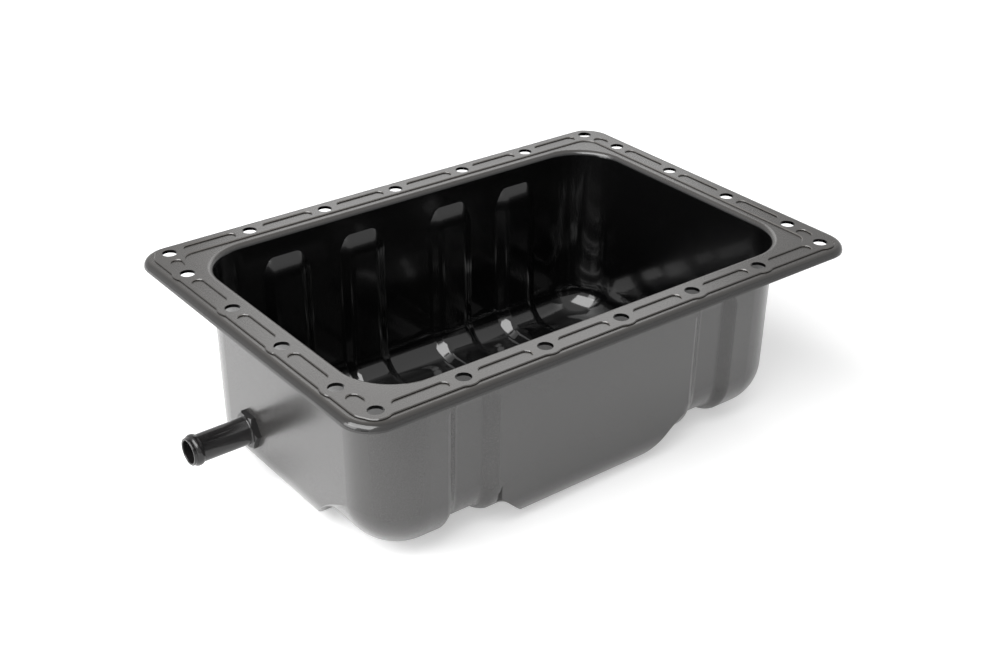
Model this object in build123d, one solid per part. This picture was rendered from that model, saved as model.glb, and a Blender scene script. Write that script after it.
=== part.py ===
from build123d import *
import math
import os

# Engine oil pan: one deep-drawn sheet steel pressing with a bolted flange and a hose
# nipple in its end wall.  Millimetres.  X runs along the pan, Y across it, +Z up.
# The origin is the centre of the bolt pattern on the gasket face (z = 0).

# ---- driving dimensions -------------------------------------------------------------
sheet = 2.0                  # steel thickness, the same all over the pressing

# bolt pattern: M8 clearance holes
hole_d = 9.5
bolt_pitch = 57.0            # along the long rails
bolt_row_y = 116.3           # long rail hole line, from the centre
end_bolt_x = 175.1           # end rail hole line, from the centre
end_bolt_pitch = 56.25       # along the end rails
corner_bolts = 3             # pitches from the centre to the corner hole

# flange
rim_beyond_row = 14.4        # hole line to the outside of the rolled lip, sides
rim_beyond_end = 14.5        # the same at the ends
rim_corner_r = 20.0
lip_r = 4.5                  # roll of the lip
lip_drop = 4.6               # land to the lower edge of the lip
rail_h = 1.0                 # raised gasket rail over the land
rail_slope = 0.5             # run of the rail's flanks
rail_in = 7.0                # hole line to the rail's inner edge
rail_out = 7.9               # hole line to the rail's outer edge
rail_in_corner_r = 10.0
rail_out_corner_r = 14.0
boss_r = 9.3                 # the rail swells round each bolt hole
notch_r = 5.0                # rounds the notch where a swelling leaves the rail
pocket_w = 7.3               # sunk pocket between two holes
pocket_gap = 10.5            # hole centre to the pocket's end
pocket_off = 0.4             # the pocket sits a little outside the hole line

# tub
wall_x = 163.5               # outer face of the end walls at the gasket plane
wall_y = 104.5               # outer face of the side walls at the gasket plane
plan_r = 36.0                # upright corners
draft = 0.8                  # degrees
bottom_r = 24.0              # wall to floor
mouth_r = 3.5                # inner edge of the mouth

# sump floor: deep over the rear and the middle, a raised shelf at both front corners
deep_floor = 131.0
shelf_floor = 122.5
shelf_y = -26.0              # the shelves lie in front of this line
shelf_left_x = -57.5         # and outside of these two
shelf_right_x = 46.0
shelf_bottom_r = 32.0        # wall to shelf
flank_deg = 45.0
shelf_corner_beyond = 8.0    # plan radius of a shelf's inner corner, over its bottom radius
flank_reach = 6.0            # the flanks run on this far above that bottom radius
flank_r = 14.0               # flank to deep floor
crest_r = 9.0                # shelf to flank

# channels pressed inward across the floor and up the walls
channel_x = (-97.0, -38.5, 35.5, 94.0)
channel_mouth_w = 34.0
channel_floor_w = 20.0
channel_depth = 5.0
channel_air = 0.1            # the tool's brim stays this far off the skin
channel_ease = 0.5           # bends this much tighter than the tub's own
channel_edge_r = 8.5
channel_root_r = 6.0
channel_brim = 4.0           # height and width of the tool outside the skin
channel_top = 24.0           # run-out below the gasket plane
channel_run_r = 20.0
channel_run = 18.0           # reach of the slanted run-out
short_channel_end_y = -44.0  # the two middle ones stop on the floor

# hose nipple in the left end wall
nipple_y = 42.0
nipple_z = -95.3
nipple_d = 18.0
nipple_wall = 1.6
nipple_len = 44.1            # outer face of the wall to the tip
tip_r = 0.6
bead_rise = 1.25
bead_w = 5.0
bead_back = 4.5              # tip to the crest of the bead
hex_shoulder = 2.0           # tube to the hexagon's flats
hex_h = 4.0
hex_chamfer = 1.2
hex_neck_r = 1.0
stem_play = 0.4              # hole in the wall over the nipple's stem
boss_wall = 2.7
boss_h = 8.0
boss_chamfer = 1.2

# ---- dependent dimensions -----------------------------------------------------------
corner_bolt_x = corner_bolts * bolt_pitch
rim_x = end_bolt_x + rim_beyond_end
rim_y = bolt_row_y + rim_beyond_row
land_z = -rail_h
under_z = land_z - sheet
lip_z = land_z - lip_drop
wall_t = sheet * math.cos(math.radians(draft))
step = deep_floor - shelf_floor
tan_draft = math.tan(math.radians(draft))
tan_flank = math.tan(math.radians(flank_deg))
half_flank = math.tan(math.radians(flank_deg / 2))
clear = 40.0                 # tools run this far past what they cut
shelf_corner_r = shelf_bottom_r + shelf_corner_beyond
nipple_bore = nipple_d - 2 * nipple_wall
hex_af = nipple_d + 2 * hex_shoulder
weld_boss_d = nipple_d + 2 * boss_wall

side_bolts = [(i * bolt_pitch, s * bolt_row_y) for i in range(-corner_bolts, corner_bolts + 1) for s in (-1, 1)]
end_bolts = [(s * end_bolt_x, i * end_bolt_pitch / 2) for i in (-3, -1, 1, 3) for s in (-1, 1)]
bolts = side_bolts + end_bolts


# ---- tub and sump -------------------------------------------------------------------
def tub(gap, floor, radius):
    """Drafted tub with its bottom radius, drawn in from the outer skin by gap."""
    plan = RectangleRounded(2 * (wall_x - gap), 2 * (wall_y - gap), plan_r - gap)
    body = extrude(Plane.XY * plan, amount=-(floor - gap), taper=draft)
    return fillet(body.edges().group_by(Axis.Z)[0], radius - gap)


def under_shelves(gap):
    """What the deep tub loses below the two shelves, their flanks included."""
    lift = shelf_bottom_r + flank_reach
    run = lift / tan_flank - gap * half_flank
    far_x = wall_x + clear
    far_y = wall_y + clear
    top = gap - shelf_floor + lift
    base = Pos(0, 0, gap - deep_floor - clear / 2) * Box(4 * far_x, 4 * far_y, clear)
    blocks = []
    for edge_x, side in ((shelf_left_x, -1), (shelf_right_x, 1)):
        near = edge_x + side * run
        depth = far_y + shelf_y - run
        plan = Pos((near + side * far_x) / 2, depth / 2 - far_y) * Rectangle(far_x - side * near, depth)
        corner = [v for v in plan.vertices() if abs(v.X) < wall_x and v.Y > -wall_y]
        plan = fillet(corner, shelf_corner_r - lift / tan_flank)
        blocks.append(extrude(Plane.XY.offset(top) * plan, amount=-(lift + step + clear / 4), taper=flank_deg - 90))
    body = base + blocks
    body = fillet(new_edges(base, *blocks, combined=body), flank_r - gap)
    hollow = tub(gap, shelf_floor, shelf_bottom_r)
    shelves = body - hollow
    crest = [e for e in new_edges(body, hollow, combined=shelves) if e.center().Z < top - 0.1]
    return fillet(crest, crest_r + gap)


def pan_form(gap):
    return tub(gap, deep_floor, bottom_r) - under_shelves(gap)


# ---- channels -----------------------------------------------------------------------
def wall_at(depth):
    return wall_y - depth * tan_draft


def run_out(side):
    """Where a channel leaves a side wall, slanting up and outward."""
    wall = wall_at(channel_top)
    return [(side * (wall + channel_run), channel_run - channel_top), (side * wall, -channel_top)]


def channel_path(x, full):
    """Centre line of a channel on the pan's outer skin, from the rear wall to the front."""
    points = run_out(1) + [(wall_at(deep_floor), -deep_floor)]
    radii = [channel_run_r, bottom_r - channel_ease]
    if full:
        points += [(shelf_y + step / tan_flank, -deep_floor), (shelf_y, -shelf_floor)]
        points += [(-wall_at(shelf_floor), -shelf_floor)] + run_out(-1)[::-1]
        radii += [flank_r - channel_ease, crest_r + channel_ease, shelf_bottom_r - channel_ease, channel_run_r]
    else:
        points += [(short_channel_end_y, -deep_floor)]
        points += [(short_channel_end_y - channel_run, -deep_floor - channel_run)]
        radii += [channel_run_r]
    return FilletPolyline(*[(x, y, z) for y, z in points], radius=radii)


def channel_tool(x, full, grow):
    """Solid between a channel's skin and the outside; grow thickens it by the sheet."""
    path = channel_path(x, full)
    slope = math.atan2(channel_depth, (channel_mouth_w - channel_floor_w) / 2)
    skin = channel_air - grow
    bottom = -channel_depth - grow
    half_floor = channel_floor_w / 2 + grow * math.tan(slope / 2)
    half_mouth = half_floor + (skin - bottom) / math.tan(slope)
    half_brim = half_mouth + channel_brim
    half = [(half_brim, channel_brim), (half_brim, skin), (half_mouth, skin), (half_floor, bottom)]
    start = Plane(origin=path @ 0, x_dir=(1, 0, 0), z_dir=path % 0)
    outward = Vector(1, 0, 0).cross(path % 0).dot(start.y_dir)
    profile = [(u, v * outward) for u, v in half + [(-u, v) for u, v in half[::-1]]]
    face = make_face(Polyline(*profile, close=True))
    edges = [v for v in face.vertices() if abs(abs(v.X) - half_mouth) < 0.01]
    face = fillet(edges, channel_edge_r - grow)
    roots = [v for v in face.vertices() if abs(abs(v.X) - half_floor) < 0.01]
    face = fillet(roots, channel_root_r + grow)
    return sweep(start * face, path=path)


def channels(grow):
    full = (True, False, False, True)
    return [channel_tool(x, f, grow) for x, f in zip(channel_x, full)]


# ---- flange -------------------------------------------------------------------------
def slab(x, y, r, low, high):
    """Block with rounded plan corners between two heights."""
    return extrude(Plane.XY.offset(low) * RectangleRounded(2 * x, 2 * y, r), amount=high - low)


def pocket(a, b):
    """Sunk pocket on the line between two neighbouring bolt holes."""
    dx = b[0] - a[0]
    dy = b[1] - a[1]
    span = math.hypot(dx, dy)
    out_x = pocket_off * math.copysign(1, a[0]) * abs(dy) / span
    out_y = pocket_off * math.copysign(1, a[1]) * abs(dx) / span
    turn = math.degrees(math.atan2(dy, dx))
    centre = Pos((a[0] + b[0]) / 2 + out_x, (a[1] + b[1]) / 2 + out_y)
    return centre * Rot(0, 0, turn) * SlotOverall(span - 2 * pocket_gap, pocket_w)


def on_boss(v):
    return any(abs(math.hypot(v.X - x, v.Y - y) - boss_r) < 0.01 for x, y in bolts)


def rail_plan():
    """Raised ring that carries the gasket, with a swelling round every hole."""
    outer = RectangleRounded(2 * (end_bolt_x + rail_out), 2 * (bolt_row_y + rail_out), rail_out_corner_r)
    inner = RectangleRounded(2 * (end_bolt_x - rail_in), 2 * (bolt_row_y - rail_in), rail_in_corner_r)
    outer += [Pos(x, y) * Circle(boss_r) for x, y in bolts]
    outer = fillet([v for v in outer.vertices() if on_boss(v)], notch_r)
    ring = outer - inner
    pockets = []
    for s in (-1, 1):
        side = [(i * bolt_pitch, s * bolt_row_y) for i in range(-corner_bolts, corner_bolts + 1)]
        end = [(s * end_bolt_x, i * end_bolt_pitch / 2) for i in (-3, -1, 1, 3)]
        corners = [(s * corner_bolt_x, t * bolt_row_y) for t in (-1, 1)]
        end = [corners[0]] + end + [corners[1]]
        pockets += [pocket(a, b) for row in (side, end) for a, b in zip(row, row[1:])]
    return ring - pockets


wall_point = (nipple_z * tan_draft * -1 - wall_x, nipple_y, nipple_z)
nipple_plane = Plane(
    origin=wall_point,
    x_dir=(0, 1, 0),
    z_dir=(-math.cos(math.radians(draft)), 0, -math.sin(math.radians(draft))),
)


# ---- pressing -----------------------------------------------------------------------
def pressing():
    flange = slab(rim_x, rim_y, rim_corner_r, lip_z, land_z)
    flange = fillet(flange.edges().group_by(Axis.Z)[-1], lip_r)
    hollow = slab(rim_x - sheet, rim_y - sheet, rim_corner_r - sheet, lip_z - clear, under_z)
    hollow = fillet(hollow.edges().group_by(Axis.Z)[-1], lip_r - sheet)
    flange -= hollow
    skin = flange + (pan_form(0) - slab(wall_x, wall_y, plan_r, land_z, clear))
    neck = [e for e in skin.edges() if abs(e.center().Z - under_z) < 0.01 and abs(e.bounding_box().size.Z) < 0.01]
    neck = [e for e in neck if abs(e.center().X) < wall_x + 0.1 and abs(e.center().Y) < wall_y + 0.1]
    skin = fillet(neck, mouth_r - sheet)
    skin -= channels(0)
    cavity = pan_form(sheet)
    cavity -= channels(sheet)
    shell = skin - cavity
    mouth = [e for e in shell.edges() if abs(e.center().Z - land_z) < 0.01 and abs(e.bounding_box().size.Z) < 0.01]
    mouth = [e for e in mouth if abs(e.center().X) < wall_x and abs(e.center().Y) < wall_y]
    shell = fillet(mouth, mouth_r)
    rail = extrude(Plane.XY.offset(land_z) * rail_plan(), amount=rail_h)
    rail = chamfer(rail.edges().group_by(Axis.Z)[-1], rail_slope)
    shell = shell + rail - Pos(0, 0, -sheet) * rail
    holes = [Pos(x, y, -clear / 2) * Cylinder(hole_d / 2, clear) for x, y in bolts]
    shell -= holes
    shell -= nipple_plane * Cylinder((nipple_d + stem_play) / 2, clear)
    return shell


# ---- hose nipple --------------------------------------------------------------------
def hose_nipple():
    """Turned in one piece from hexagon bar; local +Z points out of the wall."""
    inner_end = -wall_t - boss_h
    r = nipple_d / 2
    body = Pos(0, 0, (inner_end + nipple_len) / 2) * Cylinder(r, nipple_len - inner_end)
    collar = extrude(RegularPolygon(hex_af / 2, 6, major_radius=False), amount=hex_h)
    dome = Pos(0, 0, hex_h / 2) * Cylinder(hex_af / math.sqrt(3), hex_h)
    dome = chamfer(dome.edges().group_by(Axis.Z)[-1], hex_chamfer)
    body += collar & dome
    neck = [e for e in body.edges().filter_by(GeomType.CIRCLE) if abs(e.center().Z - hex_h) < 0.01]
    body = fillet([e for e in neck if abs(e.radius - r) < 0.01], hex_neck_r)
    ring = Pos(r, nipple_len - bead_back) * Ellipse(bead_rise, bead_w / 2)
    body += revolve(Plane.XZ * ring, axis=Axis.Z)
    body -= Pos(0, 0, (inner_end + nipple_len) / 2) * Cylinder(nipple_bore / 2, nipple_len - inner_end + clear)
    body = fillet(body.edges().group_by(Axis.Z)[-1], tip_r)
    return nipple_plane * body


def weld_boss():
    """Boss welded to the inside of the wall, screwed on the nipple's stem."""
    ring = Cylinder(weld_boss_d / 2, boss_h) - Cylinder(nipple_d / 2, boss_h)
    body = Pos(0, 0, -wall_t - boss_h / 2) * ring
    rim = body.edges().group_by(Axis.Z)[0].sort_by(SortBy.LENGTH)[-1]
    body = chamfer(rim, boss_chamfer)
    return nipple_plane * body


parts = {
    "oil_pan_shell": pressing(),
    "hose_nipple": hose_nipple(),
    "weld_boss": weld_boss(),
}
os.makedirs("parts", exist_ok=True)
for name, part in parts.items():
    part.label = name
    export_step(part, f"parts/{name}.step")
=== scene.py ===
import math

import bmesh
import bpy
from mathutils import Matrix, Vector


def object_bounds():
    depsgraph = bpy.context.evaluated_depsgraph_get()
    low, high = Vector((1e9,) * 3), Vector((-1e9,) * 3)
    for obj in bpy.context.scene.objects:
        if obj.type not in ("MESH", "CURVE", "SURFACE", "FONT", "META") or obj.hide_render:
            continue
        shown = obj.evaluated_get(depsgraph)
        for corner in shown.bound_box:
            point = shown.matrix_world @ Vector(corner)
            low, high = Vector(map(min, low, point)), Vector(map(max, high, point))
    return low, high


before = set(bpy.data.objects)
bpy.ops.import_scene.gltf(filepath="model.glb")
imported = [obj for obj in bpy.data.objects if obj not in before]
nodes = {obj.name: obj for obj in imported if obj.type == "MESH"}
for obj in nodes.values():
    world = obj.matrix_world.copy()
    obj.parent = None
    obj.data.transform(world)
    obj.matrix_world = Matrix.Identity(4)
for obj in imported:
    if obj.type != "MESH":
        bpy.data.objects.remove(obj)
cad_low, cad_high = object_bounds()

# ---------------------------------------------------------------- oil_pan_shell
# The pan is one deep-drawn sheet of steel: flange with a rolled lip, gasket rail, tub
# and ribbed sump floor.  After drawing and piercing it is dipped and stoved in black
# paint, which dries satin on the outside and lies glossier on the inside of the tub.

# Widths in from the rim, in metres.
flange_width = 0.0216                   # to where the flange ends and the tub begins
lip_width = 0.0050                      # to where the flange bends down into the lip
width_blend = 0.0005
# Heights from the gasket face, each as the place where a mask starts and where it is full.
rail_top = (-0.0012, -0.0010)
hole_foot = (-0.0045, -0.0040)
lip_foot = (-0.0068, -0.0060)
shelter_foot = (-0.019, -0.013)
upper_wall = (-0.075, -0.035)
# Depths under the gasket face, in the same way.
mouth_edge = (0.0016, 0.0034)
shelter_top = (0.0034, 0.0050)
# How upright a face is, from 0 for a level one to 1 for a wall.
wall_slope = (0.5, 0.9)
chamfer_from = (0.12, 0.25)
chamfer_to = (0.45, 0.60)
upward_slope = (0.5, 0.95)              # how far it faces up
# A face is the tub's own where its upward part times this reach outweighs its outward part.
tub_reach = 0.150
tub_blend = (-0.004, 0.010)
lip_blend = (0.03, 0.10)                # outward part of the lip's faces
shelter = 0.4                           # shade of the wall under the flange, against a hole's

paint_deep = (0.030, 0.029, 0.028, 1)
paint_thin = (0.042, 0.040, 0.039, 1)
# Faces that look up take a warmer, slightly darker tone: painted shade.
paint_upward_shade = (0.034, 0.031, 0.028, 1)
# Lighter colour on the rail's chamfered edges: a painted highlight.
paint_rail_highlight = (0.105, 0.098, 0.090, 1)
# Darker colour on the lip's outer face: painted shade.
paint_lip_shade = (0.012, 0.012, 0.012, 1)
paint_shadow = (0.003, 0.003, 0.003, 1)
# Near-black for the inside of the tub, far darker than the same paint outside: painted shade.
paint_tub_shade = (0.0016, 0.0016, 0.0017, 1)
dust = (0.16, 0.155, 0.15, 1)
# Dust specks inside the tub, darker than those outside: real dust with painted shade.
dust_in_tub_shade = (0.10, 0.10, 0.10, 1)


class Value:
    """A shader socket; an expression on it adds its Math nodes."""

    def __init__(self, shading, socket):
        self.shading = shading
        self.socket = socket

    def __add__(self, other):
        return self.shading.math("ADD", self, other)

    __radd__ = __add__

    def __sub__(self, other):
        return self.shading.math("SUBTRACT", self, other)

    def __rsub__(self, other):
        return self.shading.math("SUBTRACT", other, self)

    def __mul__(self, other):
        return self.shading.math("MULTIPLY", self, other)

    __rmul__ = __mul__

    def __neg__(self):
        return self * -1.0

    def __abs__(self):
        return self.shading.math("ABSOLUTE", self)

    def larger(self, other):
        return self.shading.math("MAXIMUM", self, other)

    def ramp(self, start, full):
        """0 before start, 1 past full, smooth between."""
        sockets = {"Value": self, "From Min": start, "From Max": full}
        made = self.shading.node("ShaderNodeMapRange", {"interpolation_type": "SMOOTHSTEP"}, sockets)
        return Value(self.shading, made.outputs["Result"])


class Shading:
    """A node tree, and the calls that write it."""

    def __init__(self, tree):
        self.tree = tree

    def node(self, kind, settings=None, sockets=None):
        """Any node: its settings first, then its sockets by their name or number."""
        made = self.tree.nodes.new(kind)
        for key, item in (settings or {}).items():
            setattr(made, key, item)
        self.feed(made, sockets or {})
        return made

    def feed(self, made, sockets):
        for key, item in sockets.items():
            if isinstance(item, Value):
                self.tree.links.new(item.socket, made.inputs[key])
            else:
                made.inputs[key].default_value = item

    def math(self, operation, *terms):
        made = self.node("ShaderNodeMath", {"operation": operation}, dict(enumerate(terms)))
        return Value(self, made.outputs[0])

    def split(self, vector):
        made = self.node("ShaderNodeSeparateXYZ", None, {"Vector": vector})
        return [Value(self, axis) for axis in made.outputs]

    def light_path(self):
        """1 on rays from the camera, and 1 on rays that a glossy face sends out."""
        made = self.node("ShaderNodeLightPath")
        return Value(self, made.outputs["Is Camera Ray"]), Value(self, made.outputs["Is Glossy Ray"])


class Finish(Shading):
    """One material, laid on a piece or on several that are finished alike."""

    def __init__(self, name):
        self.material = bpy.data.materials.new(name)
        self.material.use_nodes = True
        super().__init__(self.material.node_tree)
        self.surface = self.tree.nodes["Principled BSDF"]
        coords = self.node("ShaderNodeTexCoord")
        self.place = Value(self, coords.outputs["Object"])
        self.facing = Value(self, coords.outputs["Normal"])

    def noise(self, scale, detail=2.0, roughness=0.5, place=None):
        sockets = {"Vector": place or self.place, "Scale": scale, "Detail": detail, "Roughness": roughness}
        made = self.node("ShaderNodeTexNoise", None, sockets)
        return Value(self, made.outputs["Fac"])

    def mix(self, amount, under, over):
        made = self.node("ShaderNodeMix", {"data_type": "RGBA"}, {0: amount, 6: under, 7: over})
        return Value(self, made.outputs[2])

    def bump(self, height, strength, distance, under=None):
        sockets = {"Height": height, "Strength": strength, "Distance": distance}
        if under is not None:
            sockets["Normal"] = under
        made = self.node("ShaderNodeBump", None, sockets)
        return Value(self, made.outputs["Normal"])

    def set(self, sockets):
        self.feed(self.surface, sockets)

    def lay_over(self, mask, sockets):
        """A second finish, which shows where mask is 1."""
        second = self.node("ShaderNodeBsdfPrincipled", None, sockets)
        shaders = {1: Value(self, self.surface.outputs[0]), 2: Value(self, second.outputs[0])}
        blend = self.node("ShaderNodeMixShader", None, {0: mask, **shaders})
        self.feed(self.tree.nodes["Material Output"], {"Surface": Value(self, blend.outputs[0])})


def rim_band(x, y, width):
    """1 within this width of the pan's rim."""
    half_length = cad_high[0] - width
    half_width = cad_high[1] - width
    return (abs(x) - half_length).larger(abs(y) - half_width).ramp(0.0, width_blend)


def pan_faces(finish):
    """Masks for the pan's own faces: each is 1 on that face and 0 elsewhere."""
    x, y, z = finish.split(finish.place)
    nx, ny, nz = finish.split(finish.facing)
    depth = -z
    upright = 1.0 - abs(nz)
    outward = nx * x + ny * y
    in_tub = (nz * tub_reach - outward).ramp(*tub_blend) * depth.ramp(*mouth_edge)
    flange = rim_band(x, y, flange_width)
    flat = flange * (1.0 - rim_band(x, y, lip_width))
    hole_wall = flat * upright.ramp(*wall_slope) * z.ramp(*hole_foot)
    sheltered = z.ramp(*shelter_foot) * depth.ramp(*shelter_top) * (1.0 - flange) * (1.0 - in_tub)
    chamfer = upright.ramp(*chamfer_from) * (1.0 - upright.ramp(*chamfer_to))
    return {
        "in_tub": in_tub,
        "lip": outward.ramp(*lip_blend) * z.ramp(*lip_foot),
        "shadow": hole_wall.larger(sheltered * shelter),
        "upward": nz.ramp(*upward_slope),
        "rail_edge": chamfer * z.ramp(*rail_top),
        "upper_wall": z.ramp(*upper_wall),
    }


def stoved_black():
    """Satin black outside, and a wetter black inside the tub; painted highlights on the rail edges, and
    painted shade on faces that look up, on the lip, under the flange and inside the tub.
    """
    finish = Finish("pan_black_paint")
    face = pan_faces(finish)
    cloud = finish.noise(9.0, 3.0)
    grain = finish.noise(2600.0, 2.0, 0.6)
    peel = finish.noise(420.0, 2.0, 0.45)
    speck = finish.noise(700.0, 1.0).ramp(0.70, 0.76) * 0.05

    colour = finish.mix((cloud - 0.5) * 0.8 + 0.5, paint_deep, paint_thin)
    # Painted shade: faces that look up are slightly darker and warmer.
    colour = finish.mix(face["upward"] * 0.8, colour, paint_upward_shade)
    # Painted highlight: the rail's chamfered edges are lighter.
    colour = finish.mix(face["rail_edge"] * 0.8, colour, paint_rail_highlight)
    # Painted shade: the lip's outer face is darker.
    colour = finish.mix(face["lip"] * 0.6, colour, paint_lip_shade)
    colour = finish.mix(face["shadow"], colour, paint_shadow)
    colour = finish.mix(speck, colour, dust)
    satin = 0.27 + (grain - 0.5) * 0.08 + (cloud - 0.5) * 0.06 - face["lip"] * 0.16
    coat = (1.0 - face["lip"] * 0.6) * (1.0 - face["upward"] * 0.85) * (1.0 - face["shadow"])
    finish.set({
        "Base Color": colour, "Roughness": satin, "Metallic": face["shadow"], "IOR": 1.5,
        "Coat Weight": coat, "Coat Roughness": 0.24, "Coat IOR": 1.5,
        "Normal": finish.bump(grain, 0.05, 0.00008, finish.bump(peel, 0.08, 0.0003)),
    })

    # Inside the tub the paint is glossier, and its colour and dust are darkened as painted shade.
    finish.lay_over(face["in_tub"], {
        "Base Color": finish.mix(speck, paint_tub_shade, dust_in_tub_shade),
        "Roughness": 0.12 + face["upper_wall"] * 0.12 + (peel - 0.5) * 0.03, "IOR": 1.5,
        "Coat Weight": 0.5, "Coat Roughness": 0.08,
        "Normal": finish.bump(peel, 0.06, 0.0003),
    })
    return finish.material


def dress(name, material):
    for slot in nodes[name].material_slots:
        slot.material = material


pan_paint = stoved_black()
dress("oil_pan_shell", pan_paint)

# ---------------------------------------------------------------- weld_boss
# A turned boss, projection-welded to the inside of the end wall and painted with the
# pan.  The nipple's thread ends in it.
dress("weld_boss", pan_paint)

# ---------------------------------------------------------------- hose_nipple
# Turned from hexagon bar in one piece: a hexagon, a plain tube and a rolled bead that
# keeps the hose on.  It is finished in gloss black.
gloss_deep = (0.006, 0.006, 0.0065, 1)
gloss_thin = (0.014, 0.013, 0.013, 1)
ring_stretch = (2600.0, 14.0, 14.0)      # turning marks run round the tube, which lies along x


def turned_gloss():
    """Gloss black over the fine rings that the lathe left."""
    finish = Finish("nipple_gloss_black")
    along = [axis * stretch for axis, stretch in zip(finish.split(finish.place), ring_stretch)]
    stretched = finish.node("ShaderNodeCombineXYZ", None, dict(enumerate(along)))
    rings = finish.noise(1.0, 2.0, 0.6, Value(finish, stretched.outputs[0]))
    smear = finish.noise(60.0, 3.0)
    finish.set({
        "Base Color": finish.mix(smear, gloss_deep, gloss_thin),
        "Roughness": 0.10 + (smear - 0.5) * 0.06 + (rings - 0.5) * 0.03, "IOR": 1.5,
        "Coat Weight": 0.15, "Coat Roughness": 0.05,
        "Normal": finish.bump(rings, 0.05, 0.00005),
    })
    return finish.material


dress("hose_nipple", turned_gloss())

# ---------------------------------------------------------------- floor and backdrop
# A plain pale studio floor under the sump, which keeps the pan's shadow, and a white
# surround.  Both are white to the camera and dimmer to the faces that mirror them.
floor_half = 6.0
floor_paint = (0.78, 0.78, 0.78, 1)
glow_near = (0.45, 0.45, 0.45, 1)
glow_far = (1, 1, 1, 1)
glow_spread = (0.25, 2.5)                # square metres, from the middle
floor_mirrored = 0.35
surround = 0.30
surround_mirrored = 0.75


def floor_white():
    """Pale floor that glows to the camera, less near the pan so that its shadow shows."""
    finish = Finish("studio_floor")
    camera_ray, glossy_ray = finish.light_path()
    x, y, z = finish.split(finish.place)
    far = (x * x + y * y).ramp(*glow_spread)
    finish.set({
        "Base Color": floor_paint, "Roughness": 0.9, "Specular IOR Level": 0.0,
        "Emission Color": finish.mix(far, glow_near, glow_far),
        "Emission Strength": camera_ray + glossy_ray * floor_mirrored,
    })
    return finish.material


floor_mesh = bmesh.new()
bmesh.ops.create_grid(floor_mesh, x_segments=1, y_segments=1, size=floor_half)
bmesh.ops.translate(floor_mesh, verts=floor_mesh.verts, vec=(0, 0, cad_low[2]))
floor_data = bpy.data.meshes.new("studio_floor")
floor_mesh.to_mesh(floor_data)
floor_mesh.free()
floor_data.materials.append(floor_white())
floor = bpy.data.objects.new("studio_floor", floor_data)
bpy.context.scene.collection.objects.link(floor)

world = bpy.data.worlds.new("studio")
world.use_nodes = True
bpy.context.scene.world = world
backdrop = Shading(world.node_tree)
seen, mirrored = backdrop.light_path()
strength = surround + seen * (1.0 - surround) + mirrored * (surround_mirrored - surround)
backdrop.feed(world.node_tree.nodes["Background"], {"Color": (1, 1, 1, 1), "Strength": strength})

# ---------------------------------------------------------------- softboxes
# Three soft studio lamps: a large one above the left, a smaller one low at the left for
# the end wall, and a weak one behind that draws the far rim.
lamp_target = Vector((0, 0, -0.06))


def softbox(name, toward, distance, width, height, radiance):
    """A rectangular lamp that stands off the target and faces it."""
    light = bpy.data.lights.new(name, "AREA")
    light.shape = "RECTANGLE"
    light.size = width
    light.size_y = height
    light.energy = radiance * math.pi * width * height
    lamp = bpy.data.objects.new(name, light)
    bpy.context.scene.collection.objects.link(lamp)
    away = Vector(toward).normalized()
    lamp.location = lamp_target + away * distance
    lamp.rotation_euler = away.to_track_quat("Z", "Y").to_euler()


softbox("key_softbox", (-0.56, -0.14, 0.78), distance=1.7, width=2.0, height=1.2, radiance=6.0)
softbox("left_softbox", (-1.0, 0.15, 0.42), distance=1.5, width=1.0, height=0.7, radiance=3.5)
softbox("back_softbox", (0.55, 0.75, 0.55), distance=1.9, width=0.9, height=0.6, radiance=2.0)

# ---------------------------------------------------------------- camera
# Three-quarter view from the front left and above, turned a little about its own line
# of sight.
camera_place = Vector((-0.53125, -0.68007, 0.41384))
view_back = Vector((-0.540, -0.689, 0.483)).normalized()
roll = math.radians(0.70)

camera_data = bpy.data.cameras.new("camera")
camera_data.sensor_width = 36.0
camera_data.lens = 54.19
camera_data.clip_end = 50.0
camera = bpy.data.objects.new("camera", camera_data)
bpy.context.scene.collection.objects.link(camera)
level_right = Vector((0, 0, 1)).cross(view_back).normalized()
right = level_right * math.cos(roll) + view_back.cross(level_right) * math.sin(roll)
turn = Matrix((right, view_back.cross(right), view_back)).transposed().to_4x4()
camera.matrix_world = Matrix.Translation(camera_place) @ turn
bpy.context.scene.camera = camera
bpy.context.scene.view_settings.view_transform = "Standard"
